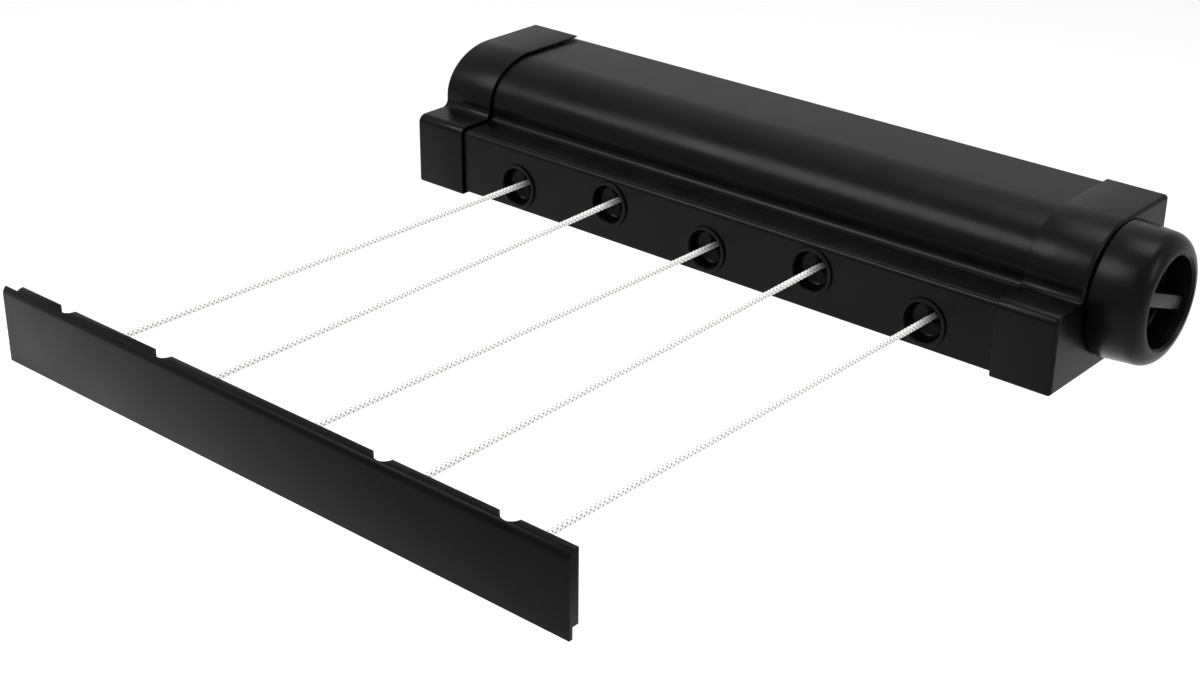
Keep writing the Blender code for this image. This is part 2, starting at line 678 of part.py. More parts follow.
def make_pawl():
    """Pawl swung clear of the ratchet, with the peg that the cam holds out."""
    pivot = PAWL_PIVOT
    meshed_tip = (PAWL_TIP[0] - pivot[0], PAWL_TIP[1] - pivot[1])
    meshed_heel = (meshed_tip[0] + PAWL_HEEL[0], meshed_tip[1] + PAWL_HEEL[1])
    tip = turn_point(meshed_tip, -PAWL_SWING)
    heel = turn_point(meshed_heel, -PAWL_SWING)
    outline = arc(pivot, (PAWL_EYE_RADIUS, PAWL_EYE_RADIUS), 60, 270, 8)
    for corner in (PAWL_BELLY, heel, tip, PAWL_NECK):
        outline.append((pivot[0] + corner[0], pivot[1] + corner[1]))
    hole = circle(pivot, PAWL_PIN_RADIUS + GAP, 12)
    mesh = slab([outline, hole], "X", RATCHET_START, RATCHET_END)
    part = add_object("pawl", mesh, "acetal", (0.0, pivot[0], pivot[1]))
    peg_place = (0.0, pivot[0] + PAWL_PEG[0], pivot[1] + PAWL_PEG[1])
    peg_start = (RATCHET_START + RATCHET_END) / 2
    join(part, cylinder(PAWL_PEG_RADIUS, peg_place, "X", peg_start, CAM_END, 10))
    pin_start = RIGHT_BULKHEAD + BULKHEAD_THICKNESS + GAP
    pin = cylinder(PAWL_PIN_RADIUS, (0.0, pivot[0], pivot[1]), "X", pin_start, PAWL_PIN_END, 12)
    add_object("pawl_pin", pin, "steel")


def make_pawl_spring():
    """Torsion spring on the pawl's pin."""
    per_turn = 12
    start = RATCHET_END + 2 * PAWL_SPRING_WIRE + GAP
    side = PAWL_PIVOT[0] + PAWL_SPRING_RADIUS
    points = [(start, side, PAWL_PIVOT[1] + PAWL_SPRING_UPPER_LEG)]
    for i in range(PAWL_SPRING_TURNS * per_turn + 1):
        y, z = round_point(PAWL_PIVOT, PAWL_SPRING_RADIUS, 2 * math.pi * i / per_turn)
        points.append((start + PAWL_SPRING_PITCH * i / per_turn, y, z))
    end = start + PAWL_SPRING_PITCH * PAWL_SPRING_TURNS
    points.append((end, side, PAWL_PIVOT[1] - PAWL_SPRING_LOWER_LEG))
    add_object("pawl_spring", wire_tube("pawl_spring", points, PAWL_SPRING_WIRE, 1), "spring_steel")


def cam_outline():
    """Cam edge that just clears the peg at every angle of the knob."""
    centre = (AXIS_Y, AXIS_Z)
    points = []
    angles = []
    steps = 12
    for i in range(steps + 1):
        share = i / steps
        peg = turn_point(PAWL_PEG, share * PAWL_SWING)
        y = PAWL_PIVOT[0] + peg[0] - AXIS_Y
        z = PAWL_PIVOT[1] + peg[1] - AXIS_Z
        reach = math.hypot(y, z) - PAWL_PEG_RADIUS - 2 * GAP
        angles.append(math.atan2(z, y) + share * KNOB_SWING)
        points.append(round_point(centre, reach, angles[-1]))
    first = math.degrees(angles[-1]) + CAM_STEP_IN
    last = math.degrees(angles[0]) + 360 - CAM_STEP_OUT
    points += arc(centre, (CAM_LOW_RADIUS, CAM_LOW_RADIUS), first, last, 20)
    return points


def make_cam():
    bore = circle((AXIS_Y, AXIS_Z), STEM_RADIUS + GAP, ROUND_STEPS)
    add_object("lock_cam", slab([cam_outline(), bore], "X", CAM_START, CAM_END), "acetal", AXLE)


def make_knob():
    """Lock knob: rounded rim, deep well with a grip rib across it, hollow back and a stem."""
    face = RIGHT_END + KNOB_DEPTH
    base = RIGHT_END + KNOB_CLEARANCE
    floor = RIGHT_END + KNOB_FLOOR
    back = floor - KNOB_WEB
    well = KNOB_FACE_RADIUS - KNOB_RIM_RADIUS
    stem_end = CAM_START + GAP
    hole_radius, hole_depth = STEM_SCREW_HOLE
    profile = [(0.0, floor), (well - KNOB_WELL_TAPER, floor), (well - KNOB_LIP, face - KNOB_LIP)]
    profile += arc((well, face - KNOB_RIM_RADIUS), (KNOB_RIM_RADIUS, KNOB_RIM_RADIUS), 90, 0, 5)
    profile += [
        (KNOB_BASE_RADIUS, base),
        (KNOB_BASE_RADIUS - KNOB_WALL, base),
        (KNOB_FACE_RADIUS - KNOB_WALL, back),
        (STEM_RADIUS + STEM_FILLET, back),
        (STEM_RADIUS, back - STEM_FILLET),
        (STEM_RADIUS, stem_end),
        (hole_radius, stem_end),
        (hole_radius, stem_end + hole_depth),
        (0.0, stem_end + hole_depth),
    ]
    part = add_object("knob", axle_mesh(profile, 36), "black_plastic", AXLE)
    half = well - KNOB_RIB_END_GAP
    side = KNOB_RIB_WIDTH / 2
    rib = box(floor - KNOB_WEB / 2, face - KNOB_RIB_DROP, -half, half, -side, side)
    rib.transform(Matrix.Translation(AXLE) @ Matrix.Rotation(KNOB_RIB_ANGLE, 4, "X"))
    join(part, rib)
    make_cam_screw()


def make_cam_screw():
    head_face = CAM_START - 2 * GAP
    head_end = head_face - CAM_SCREW_HEAD_THICKNESS
    shank_end = CAM_START + CAM_SCREW_DEPTH
    profile = [
        (0.0, shank_end),
        (CAM_SCREW_RADIUS, shank_end),
        (CAM_SCREW_RADIUS, head_face),
        (CAM_SCREW_HEAD, head_face),
        (CAM_SCREW_HEAD - GAP, head_end),
        (0.0, head_end),
    ]
    add_object("cam_screw", axle_mesh(profile, 14), "steel", AXLE)


# ---------------------------------------------------------------- pull bar and lines
def bar_outline():
    """Section of the bar's front part in (y, z), before its pocket is cut."""
    front = BAR_FRONT_Y
    curve = arc((front + BAR_TOP_ROUNDING, BAR_TOP - BAR_TOP_ROUNDING),
                (BAR_TOP_ROUNDING, BAR_TOP_ROUNDING), 180, 90, 6)
    lip = front + BAR_LIP_THICKNESS
    return ([(front, BAR_BOTTOM)] + curve
            + [(BAR_REAR_Y, BAR_TOP), (BAR_REAR_Y, BAR_BOX_BOTTOM), (lip, BAR_BOX_BOTTOM), (lip, BAR_BOTTOM)])


def cut_notches(part):
    """Half-round grooves in the back of the top edge, by which the bar hangs on its hooks."""
    top = BAR_TOP + CUT_MARGIN
    floor = BAR_TOP - NOTCH_DEPTH
    for offset in NOTCH_OFFSETS:
        middle = Matrix.Translation((NOTCH_CENTRE_X + offset, BAR_REAR_Y, (top + floor) / 2))
        stretch = Matrix.Diagonal((NOTCH_HALF_WIDTH, NOTCH_REACH, 1.0, 1.0))
        shape = bmesh.new()
        bmesh.ops.create_cone(shape, cap_ends=True, segments=ROUND_STEPS, radius1=1.0, radius2=1.0,
                              depth=top - floor, matrix=middle @ stretch)
        cut(part, finished_mesh(shape))


def cut_scoops(part):
    """Two shallow finger hollows in the front top edge."""
    for x in SCOOP_PLACES:
        cut(part, ball(SCOOP_RADIUS, (x, BAR_FRONT_Y + SCOOP_CENTRE[0], BAR_TOP + SCOOP_CENTRE[1])))


def make_bar():
    """Pull bar: a front shell with a shallow pocket, closed by a back plate that holds the lines."""
    front = add_object("bar_front", slab([bar_outline()], "X", BAR_LEFT, BAR_RIGHT), "black_plastic")
    pocket_top = BAR_TOP - BAR_TOP_RIM
    pocket_floor = BAR_BOX_BOTTOM + BAR_RIM
    pocket_front = BAR_FRONT_Y + BAR_FRONT_WALL
    behind_plate = BAR_FRONT_Y + BAR_LIP_THICKNESS
    cut(front, box(BAR_LEFT - CUT_MARGIN, BAR_BOX_LEFT, behind_plate, BAR_REAR_Y + CUT_MARGIN,
                   BAR_BOTTOM - CUT_MARGIN, BAR_TOP + CUT_MARGIN))
    cut(front, box(BAR_BOX_LEFT + BAR_RIM, BAR_RIGHT - BAR_RIM, pocket_front, BAR_REAR_Y + CUT_MARGIN,
                   pocket_floor, pocket_top))
    cut_notches(front)
    cut_scoops(front)
    inset = BAR_RIM + GAP
    loops = [rectangle(BAR_BOX_LEFT + inset, BAR_BOX_BOTTOM + inset, BAR_RIGHT - inset, pocket_top - GAP)]
    loops += [circle((x, LINE_BAR_HEIGHT), LINE_RADIUS + GAP, 12) for x in line_places()]
    back = slab(loops, "Y", BAR_REAR_Y - BAR_BACK_THICKNESS, BAR_REAR_Y)
    add_object("bar_back", back, "black_plastic")


def line_route(x, height):
    """Line from the underside of its winding, through its guide, to the bar."""
    mouth = (COVER_FRONT_Y + GUIDE_DEPTH, height)
    clear = WINDING_RADIUS + LINE_RADIUS + GAP
    away = (AXIS_Y - mouth[0], AXIS_Z - mouth[1])
    distance = math.hypot(*away)
    angle = math.atan2(away[1], away[0]) - math.asin(clear / distance)
    run = math.sqrt(distance ** 2 - clear ** 2)
    points = []
    for share in LINE_RUN_SHARES:
        points.append((x, mouth[0] + share * run * math.cos(angle), mouth[1] + share * run * math.sin(angle)))
    points.append((x, mouth[0] - GUIDE_BORE_LENGTH, mouth[1]))
    points.append((x, STOP_Y + GAP, LINE_BAR_HEIGHT))
    return points


def make_lines():
    for i, (x, height) in enumerate(zip(line_places(), EXIT_HEIGHTS)):
        tube = wire_tube("line", line_route(x, height), LINE_RADIUS)
        add_object("line_%d" % (i + 1), tube, "white_line")
        stop = cylinder(STOP_RADIUS, (x, STOP_Y, LINE_BAR_HEIGHT), "Y", -STOP_THICKNESS, 0.0, 14)
        add_object("line_stop_%d" % (i + 1), stop, "acetal")


clear_scene()
PARTS = new_collection("retractable_clothesline")
CUTTERS = new_collection("cutters")
make_housing()
make_case_screws()
make_guides()
make_bearings()
make_drum()
make_mainspring()
make_ratchet()
make_pawl()
make_pawl_spring()
make_cam()
make_knob()
make_bar()
make_lines()
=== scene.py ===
"""Looks of the retractable clothesline: shells, knob, pull bar, braided lines and all materials."""
import json
import math

import bmesh
import bpy
from mathutils import Matrix, Vector


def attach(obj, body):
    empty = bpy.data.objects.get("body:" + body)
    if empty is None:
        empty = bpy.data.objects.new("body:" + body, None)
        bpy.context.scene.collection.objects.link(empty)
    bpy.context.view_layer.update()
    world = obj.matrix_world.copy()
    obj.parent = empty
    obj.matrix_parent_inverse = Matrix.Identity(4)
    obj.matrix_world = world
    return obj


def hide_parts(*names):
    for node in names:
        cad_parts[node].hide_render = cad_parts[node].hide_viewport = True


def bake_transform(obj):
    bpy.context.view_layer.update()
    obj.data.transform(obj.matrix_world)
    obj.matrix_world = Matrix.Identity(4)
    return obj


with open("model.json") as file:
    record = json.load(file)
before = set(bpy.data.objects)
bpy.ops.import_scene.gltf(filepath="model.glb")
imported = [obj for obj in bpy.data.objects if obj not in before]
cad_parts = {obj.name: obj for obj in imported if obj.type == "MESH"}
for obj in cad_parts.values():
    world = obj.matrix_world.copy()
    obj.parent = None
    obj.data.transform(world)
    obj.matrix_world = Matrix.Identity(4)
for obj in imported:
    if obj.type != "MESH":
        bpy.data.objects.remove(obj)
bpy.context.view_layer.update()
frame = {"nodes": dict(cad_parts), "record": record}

# ---------------------------------------------------------------- sizes shared with the part, in metres
GAP = 0.0003
FRONT_Y = -0.091
BOTTOM_Z = -0.033
TOP_Z = 0.033
LEFT_END = -0.190
RIGHT_END = 0.190
LEFT_CAP_EDGE = -0.158
RIGHT_CAP_EDGE = 0.160
COVER_START = -0.162
COVER_END = 0.164
CAP_WALL = 0.0015
CAP_END_WALL = 0.003
CAP_ROUNDING = 0.0018
COVER_INSET = CAP_WALL + GAP
COVER_WALL = 0.0024
COVER_FRONT_Y = FRONT_Y + COVER_INSET

LEDGE_HEIGHT = 0.037
LEDGE_EDGE_RADIUS = 0.0045
BOTTOM_EDGE_RADIUS = 0.0012
BARREL_FRONT = 0.0215
BARREL_SHOULDER = 0.042
BARREL_DEPTH_RADIUS = 0.032
LEDGE_FILLET = 0.004

AXIS_Y = -0.038
AXIS_Z = 0.001

LINE_XS = [0.0025 + (i - 2) * 0.061 for i in range(5)]
EXIT_HEIGHTS = [-0.0185, -0.0118, -0.0185, -0.0118, -0.0185]    # the exits are staggered
LINE_BAR_HEIGHT = -0.015
LINE_RADIUS = 0.0015
LINE_BAR_END = -0.3638
BRAID_STITCH = 0.0026            # length of one over-and-under of the braid
BRAID_DEPTH = 0.00017
BRAID_COLUMNS = 4
GUIDE_DEPTH = 0.009
GUIDE_BORE_LENGTH = 0.0015
GUIDE_BODY_RADIUS = 0.0102
GUIDE_SEAT_REACH = 0.006         # how far a seat is cut before and behind the cover's face
WINDING_RADIUS = 0.0206
WINDING_BORE = 0.0089
WINDING_HALF = 0.0162

KNOB_BASE_RADIUS = 0.0315
KNOB_FACE_RADIUS = 0.0302
KNOB_DEPTH = 0.025
KNOB_RIM_RADIUS = 0.008
KNOB_FLOOR = 0.012
KNOB_RIB_ANGLE = math.radians(-21.0)
KNOB_RIB_WIDTH = 0.007
STEM_RADIUS = 0.006
STEM_END = 0.1752

BAR_LEFT = -0.1606
BAR_RIGHT = 0.1614
BAR_BOX_LEFT = BAR_LEFT + 0.0085    # the front plate runs on past the box here
BAR_FRONT_Y = -0.367
BAR_REAR_Y = -0.3622
BAR_BOTTOM = -0.0293
BAR_BOX_BOTTOM = -0.0243
BAR_TOP = 0.0063
BAR_LIP_THICKNESS = 0.0018
BAR_TOP_ROUNDING = 0.0044
BAR_FRONT_WALL = 0.0014
BAR_RIM = 0.0018
BAR_TOP_RIM = 0.0078
BAR_BACK_THICKNESS = 0.0016
NOTCH_XS = [0.005 + offset for offset in (-0.1252, -0.0626, 0.0626, 0.1252)]
NOTCH_HALF_WIDTH = 0.0049
NOTCH_REACH = 0.0030
NOTCH_DEPTH = 0.0060
SCOOP_XS = [-0.0764, 0.0979]
SCOOP_RADIUS = 0.009
SCOOP_CENTRE = (-0.002, 0.0072)  # (y, z) of the ball's centre from the bar's front top corner
BAR_HOLE_REACH = 0.01
CUT_MARGIN = 0.004

# ---------------------------------------------------------------- camera
CAMERA_PLACE = (0.53705, -0.79358, 0.35870)
CAMERA_AZIMUTH = math.radians(40.435)
CAMERA_ELEVATION = math.radians(25.692)
CAMERA_ROLL = math.radians(0.676)
CAMERA_LENS = 60.264


def make_camera():
    """Long lens from the front right and above, with a slight roll."""
    camera = bpy.data.cameras.new("photo_camera")
    camera.lens = CAMERA_LENS
    camera.sensor_width = 36.0
    camera.clip_start = 0.01
    camera.dof.use_dof = False
    holder = bpy.data.objects.new("photo_camera", camera)
    bpy.context.scene.collection.objects.link(holder)
    back = Vector((math.sin(CAMERA_AZIMUTH) * math.cos(CAMERA_ELEVATION),
                   -math.cos(CAMERA_AZIMUTH) * math.cos(CAMERA_ELEVATION),
                   math.sin(CAMERA_ELEVATION)))
    level = Vector((0, 0, 1)).cross(back).normalized()
    upright = back.cross(level)
    right = level * math.cos(CAMERA_ROLL) + upright * math.sin(CAMERA_ROLL)
    up = upright * math.cos(CAMERA_ROLL) - level * math.sin(CAMERA_ROLL)
    turn = Matrix((right, up, back)).transposed().to_4x4()
    holder.matrix_world = Matrix.Translation(CAMERA_PLACE) @ turn
    bpy.context.scene.camera = holder


# ---------------------------------------------------------------- materials
def node(tree, kind, **values):
    made = tree.nodes.new(kind)
    for key, value in values.items():
        if key in made.inputs:
            made.inputs[key].default_value = value
        else:
            setattr(made, key, value)
    return made


def new_material(name):
    material = bpy.data.materials.new(name)
    material.use_nodes = True
    tree = material.node_tree
    place = node(tree, "ShaderNodeTexCoord")
    return material, tree, tree.nodes["Principled BSDF"], place.outputs["Object"]


def noise(tree, place, scale, detail=3.0, roughness=0.55):
    made = node(tree, "ShaderNodeTexNoise", Scale=scale, Detail=detail, Roughness=roughness)
    tree.links.new(place, made.inputs["Vector"])
    return made.outputs["Fac"]


def spread(tree, value, low, high, start=0.3, end=0.7):
    """Map a noise value to a range."""
    made = node(tree, "ShaderNodeMapRange")
    made.inputs["From Min"].default_value = start
    made.inputs["From Max"].default_value = end
    made.inputs["To Min"].default_value = low
    made.inputs["To Max"].default_value = high
    tree.links.new(value, made.inputs["Value"])
    return made.outputs["Result"]


def two_colours(tree, value, first, second, start=0.35, end=0.65):
    made = node(tree, "ShaderNodeValToRGB")
    made.color_ramp.elements[0].position = start
    made.color_ramp.elements[0].color = (*first, 1.0)
    made.color_ramp.elements[1].position = end
    made.color_ramp.elements[1].color = (*second, 1.0)
    tree.links.new(value, made.inputs["Fac"])
    return made.outputs["Color"]


def bumps(tree, shader, layers):
    """Stack bump layers of (height value, depth in metres)."""
    normal = None
    for height, depth in layers:
        made = node(tree, "ShaderNodeBump", Strength=1.0, Distance=depth)
        tree.links.new(height, made.inputs["Height"])
        if normal is not None:
            tree.links.new(normal, made.inputs["Normal"])
        normal = made.outputs["Normal"]
    tree.links.new(normal, shader.inputs["Normal"])


def plastic(name, dark, light, low, high, grain=1500.0, depth=0.00002, specular=0.3):
    """Moulded plastic: spark-eroded grain, faint flow marks, patchy gloss."""
    material, tree, shader, place = new_material(name)
    patches = noise(tree, place, 28.0, 5.0, 0.6)
    fine = noise(tree, place, grain, 2.0, 0.5)
    flow = noise(tree, place, 9.0, 2.0, 0.4)
    tree.links.new(two_colours(tree, patches, dark, light), shader.inputs["Base Color"])
    tree.links.new(spread(tree, patches, low, high), shader.inputs["Roughness"])
    bumps(tree, shader, [(fine, depth), (flow, 0.0001)])
    shader.inputs["Specular IOR Level"].default_value = specular
    return material


def maths(tree, operation, first, second=None):
    item = tree.nodes.new("ShaderNodeMath")
    item.operation = operation
    for slot, value in enumerate((first, second)):
        if isinstance(value, bpy.types.NodeSocket):
            tree.links.new(value, item.inputs[slot])
        elif value is not None:
            item.inputs[slot].default_value = value
    return item.outputs["Value"]


def rope_material():
    """White polyester braid: fibre streaks, with painted shade (dark grey) in the hollows between the
    stitches.
    """
    material, tree, shader, place = new_material("braided_line")
    stretch = node(tree, "ShaderNodeMapping", Scale=(1.0, 0.12, 1.0))
    tree.links.new(place, stretch.inputs["Vector"])
    fibres = noise(tree, stretch.outputs["Vector"], 5200.0, 2.0, 0.6)
    along = node(tree, "ShaderNodeSeparateXYZ")
    tree.links.new(place, along.inputs["Vector"])
    facing = node(tree, "ShaderNodeSeparateXYZ")
    tree.links.new(node(tree, "ShaderNodeNewGeometry").outputs["Normal"], facing.inputs["Vector"])
    angle = maths(tree, "ARCTAN2", facing.outputs["Z"], facing.outputs["X"])
    around = maths(tree, "COSINE", maths(tree, "MULTIPLY", angle, BRAID_COLUMNS))
    turns = maths(tree, "MULTIPLY", along.outputs["Y"], 2 * math.pi / BRAID_STITCH)
    stitch = maths(tree, "MULTIPLY", around, maths(tree, "COSINE", turns))
    height = maths(tree, "ADD", maths(tree, "MULTIPLY", stitch, 0.5), 0.5)
    # Painted shade: the white line is coloured dark grey where the braid dips, standing in for shade in the
    # hollows between the stitches.
    base = two_colours(tree, height, (0.16, 0.16, 0.16), (0.82, 0.82, 0.81), 0.06, 0.36)
    tree.links.new(base, shader.inputs["Base Color"])
    tree.links.new(spread(tree, fibres, 0.62, 0.82), shader.inputs["Roughness"])
    bumps(tree, shader, [(fibres, 0.00006)])
    shader.inputs["Sheen Weight"].default_value = 0.2
    shader.inputs["Sheen Roughness"].default_value = 0.4
    return material


def metal(name, dark, light, low, high, stretch=(1.0, 1.0, 1.0)):
    """Drawn or plated metal with fine lines along the stretch direction."""
    material, tree, shader, place = new_material(name)
    lines = node(tree, "ShaderNodeMapping", Scale=stretch)
    tree.links.new(place, lines.inputs["Vector"])
    brushed = noise(tree, lines.outputs["Vector"], 900.0, 3.0, 0.6)
    patches = noise(tree, place, 70.0, 4.0, 0.6)
    tree.links.new(two_colours(tree, patches, dark, light), shader.inputs["Base Color"])
    tree.links.new(spread(tree, brushed, low, high), shader.inputs["Roughness"])
    bumps(tree, shader, [(brushed, 0.00001)])
    shader.inputs["Metallic"].default_value = 1.0
    return material


MATERIALS = {
    "black_plastic": plastic("satin_black", (0.0012, 0.0012, 0.0013), (0.0022, 0.0022, 0.0024), 0.24, 0.34,
                             specular=0.10),
    "bar_plastic": plastic("bar_black", (0.0011, 0.0011, 0.0012), (0.0020, 0.0020, 0.0021), 0.28, 0.38,
                           specular=0.07),
    "inner_plastic": plastic("dark_grey_inner", (0.030, 0.031, 0.033), (0.043, 0.044, 0.046), 0.45, 0.60,
                             grain=900.0, depth=0.00004, specular=0.4),
    "acetal": plastic("natural_acetal", (0.78, 0.77, 0.73), (0.86, 0.85, 0.81), 0.32, 0.45,
                      grain=1200.0, depth=0.00001, specular=0.5),
    "white_line": rope_material(),
    "steel": metal("zinc_plated_steel", (0.50, 0.51, 0.52), (0.66, 0.66, 0.65), 0.22, 0.40, (0.05, 1.0, 1.0)),
    "spring_steel": metal("blued_spring_steel", (0.16, 0.18, 0.23), (0.26, 0.28, 0.32), 0.25, 0.42),
}


# ---------------------------------------------------------------- shape tools
def arc(centre, radii, start, end, count):
    points = []
    for i in range(count + 1):
        angle = math.radians(start + (end - start) * i / count)
        points.append((centre[0] + radii[0] * math.cos(angle), centre[1] + radii[1] * math.sin(angle)))
    return points


def housing_outline(inset):
    """Open outline in (y, z) from the wall's bottom edge round the front to the wall's top edge."""
    front = FRONT_Y + inset
    bottom = BOTTOM_Z + inset
    ledge_top = BOTTOM_Z + LEDGE_HEIGHT - inset
    low = max(BOTTOM_EDGE_RADIUS - inset, 0.0006)
    edge = max(LEDGE_EDGE_RADIUS - inset, 0.0006)
    barrel_front = FRONT_Y + BARREL_FRONT + inset
    fillet = (barrel_front - LEDGE_FILLET, ledge_top + LEDGE_FILLET)
    barrel = (FRONT_Y + BARREL_FRONT + BARREL_DEPTH_RADIUS, BOTTOM_Z + BARREL_SHOULDER)
    rise = TOP_Z - BOTTOM_Z - BARREL_SHOULDER - inset
    points = [(0.0, bottom)]
    points += arc((front + low, bottom + low), (low, low), 270, 180, 6)
    points += arc((front + edge, ledge_top - edge), (edge, edge), 180, 90, 10)
    points += arc(fillet, (LEDGE_FILLET, LEDGE_FILLET), -90, 0, 8)
    points += arc(barrel, (BARREL_DEPTH_RADIUS - inset, rise), 180, 90, 28)
    points.append((0.0, TOP_Z - inset))
    return points


def mesh_object(name, mesh, slot, body, nodes, finish=None, smooth=30.0):
    """Link a finished mesh as a piece that rides on body and stands for the named CAD nodes."""
    if not mesh.polygons:
        raise ValueError(name + " has no faces")
    piece = bpy.data.objects.new(name, mesh)
    bpy.context.scene.collection.objects.link(piece)
    mesh.materials.clear()
    mesh.materials.append(MATERIALS[finish or slot])
    mesh.shade_smooth()
    mesh.set_sharp_from_angle(angle=math.radians(smooth))
    if nodes:
        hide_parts(*nodes)
    if body:
        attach(piece, body)
    return piece


def clean_mesh(name, shape, merge=1e-7):
    bmesh.ops.remove_doubles(shape, verts=shape.verts, dist=merge)
    bmesh.ops.recalc_face_normals(shape, faces=shape.faces)
    mesh = bpy.data.meshes.new(name)
    shape.to_mesh(mesh)
    shape.free()
    return mesh


def applied(mesh, modifiers, cutters=()):
    """Mesh with modifiers of (kind, settings) and Boolean cutters of (mesh, operation) applied, in order."""
    holder = bpy.data.objects.new("holder", mesh)
    bpy.context.scene.collection.objects.link(holder)
    helpers = []
    for cutter_mesh, operation in cutters:
        helper = bpy.data.objects.new("helper", cutter_mesh)
        bpy.context.scene.collection.objects.link(helper)
        step = holder.modifiers.new("Cut", "BOOLEAN")
        step.operation = operation
        step.solver = "EXACT"
        step.object = helper
        helpers.append(helper)
    for kind, settings in modifiers:
        step = holder.modifiers.new(kind, kind)
        for key, value in settings.items():
            setattr(step, key, value)
    graph = bpy.context.evaluated_depsgraph_get()
    result = bpy.data.meshes.new_from_object(holder.evaluated_get(graph))
    for extra in [holder] + helpers:
        bpy.data.objects.remove(extra, do_unlink=True)
    return result


def prism(outline, along, start, end):
    """Solid of a closed outline, from start to end along world X (outline in y, z) or Y (in x, z)."""
    shape = bmesh.new()
    rings = []
    for place in (start, end):
        if along == "X":
            rings.append([shape.verts.new((place, a, b)) for a, b in outline])
        else:
            rings.append([shape.verts.new((a, place, b)) for a, b in outline])
    count = len(outline)
    for i in range(count):
        j = (i + 1) % count
        shape.faces.new((rings[0][i], rings[0][j], rings[1][j], rings[1][i]))
    shape.faces.new(rings[0])
    shape.faces.new(rings[1])
    return clean_mesh("prism", shape)


def turned(profile, centre, along, steps=96, closed=True):
    """Turn a profile of (radius, place along the axis) round world X or Y through centre."""
    shape = bmesh.new()
    rings = []
    for radius, place in profile:
        ring = []
        count = steps if radius > 1e-9 else 1
        for i in range(count):
            angle = 2 * math.pi * i / count
            a, b = radius * math.cos(angle), radius * math.sin(angle)
            spot = (place, a, b) if along == "X" else (a, place, b)
            ring.append(shape.verts.new(Vector(spot) + Vector(centre)))
        rings.append(ring)
    pairs = list(zip(rings, rings[1:]))
    if closed and len(rings[0]) > 1:
        pairs.append((rings[-1], rings[0]))
    for first, second in pairs:
        for i in range(steps):
            j = (i + 1) % steps
            corners = [first[i % len(first)], first[j % len(first)],
                       second[j % len(second)], second[i % len(second)]]
            corners = list(dict.fromkeys(corners))
            if len(corners) > 2:
                shape.faces.new(corners)
    return clean_mesh("turned", shape)


def rounded(points, radius, steps=4):
    """Round the corners of a closed profile, each by radius or by its own radius where a point has one."""
    result = []
    count = len(points)
    for i in range(count):
        here = Vector(points[i][:2])
        size = points[i][2] if len(points[i]) > 2 else radius
        before = Vector(points[i - 1][:2]) - here
        after = Vector(points[(i + 1) % count][:2]) - here
        if size <= 0 or before.length < 1e-9 or after.length < 1e-9:
            result.append(tuple(here))
            continue
        half = before.angle(after) / 2
        back = min(size / math.tan(half), 0.49 * before.length, 0.49 * after.length)
        start = here + before.normalized() * back
        end = here + after.normalized() * back
        for k in range(steps + 1):
            t = k / steps
            result.append(tuple((1 - t) ** 2 * start + 2 * t * (1 - t) * here + t ** 2 * end))
    return result


# ---------------------------------------------------------------- lines
RING_STEP = 0.0004
RING_POINTS = 16


def line_corners(x, height):
    """The line's route: underside of its winding, mouth of its guide, back of the bar."""
    mouth = (COVER_FRONT_Y + GUIDE_DEPTH, height)
    clear = WINDING_RADIUS + LINE_RADIUS + GAP
    away = (AXIS_Y - mouth[0], AXIS_Z - mouth[1])
    distance = math.hypot(*away)
    angle = math.atan2(away[1], away[0]) - math.asin(clear / distance)
    run = math.sqrt(distance ** 2 - clear ** 2)
    points = []
    for share in (1.0, 0.5, 0.12):
        points.append(Vector((x, mouth[0] + share * run * math.cos(angle),
                              mouth[1] + share * run * math.sin(angle))))
    points.append(Vector((x, mouth[0] - GUIDE_BORE_LENGTH, mouth[1])))
    points.append(Vector((x, LINE_BAR_END, LINE_BAR_HEIGHT)))
    return points


def ring_centres(corners):
    """Evenly spaced places along a route, one for each ring of the line."""
    centres = []
    for start, end in zip(corners, corners[1:]):
        count = max(1, round((end - start).length / RING_STEP))
        centres += [start.lerp(end, i / count) for i in range(count)]
    centres.append(corners[-1])
    return centres


def make_line(number, x, height):
    corners = line_corners(x, height)
    centres = ring_centres(corners)
    shape = bmesh.new()
    rings = []
    for k, centre in enumerate(centres):
        ahead = centres[min(k + 1, len(centres) - 1)] - centres[max(k - 1, 0)]
        along = ahead.normalized()
        side = Vector((1, 0, 0))
        up = along.cross(side)
        ring = []
        for i in range(RING_POINTS):
            angle = 2 * math.pi * i / RING_POINTS
            stitch = math.cos(BRAID_COLUMNS * angle) * math.cos(2 * math.pi * centre.y / BRAID_STITCH)
            radius = LINE_RADIUS - BRAID_DEPTH * (1 - stitch) / 2
            outward = side * radius * math.cos(angle) + up * radius * math.sin(angle)
            ring.append(shape.verts.new(centre + outward))
        rings.append(ring)
    for first, second in zip(rings, rings[1:]):
        for i in range(RING_POINTS):
            j = (i + 1) % RING_POINTS
            shape.faces.new((first[i], first[j], second[j], second[i]))
    shape.faces.new(rings[0])
    shape.faces.new(rings[-1])
    piece = mesh_object("braided_line_%d" % number, clean_mesh("line", shape), "white_line", None,
                        ["line_%d" % number], smooth=80)
    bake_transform(piece)


def make_lines():
    for i, (x, height) in enumerate(zip(LINE_XS, EXIT_HEIGHTS)):
        make_line(i + 1, x, height)


# ---------------------------------------------------------------- housing shells
def shell_skin(sections):
    """Open skin through outlines of (x, inset), from the wall's bottom edge to its top edge."""
    shape = bmesh.new()
    rows = []
    for x, inset in sections:
        rows.append([shape.verts.new((x, y, z)) for y, z in housing_outline(inset)])
    for first, second in zip(rows, rows[1:]):
        for i in range(len(first) - 1):
            shape.faces.new((first[i], first[i + 1], second[i + 1], second[i]))
    return shape, rows


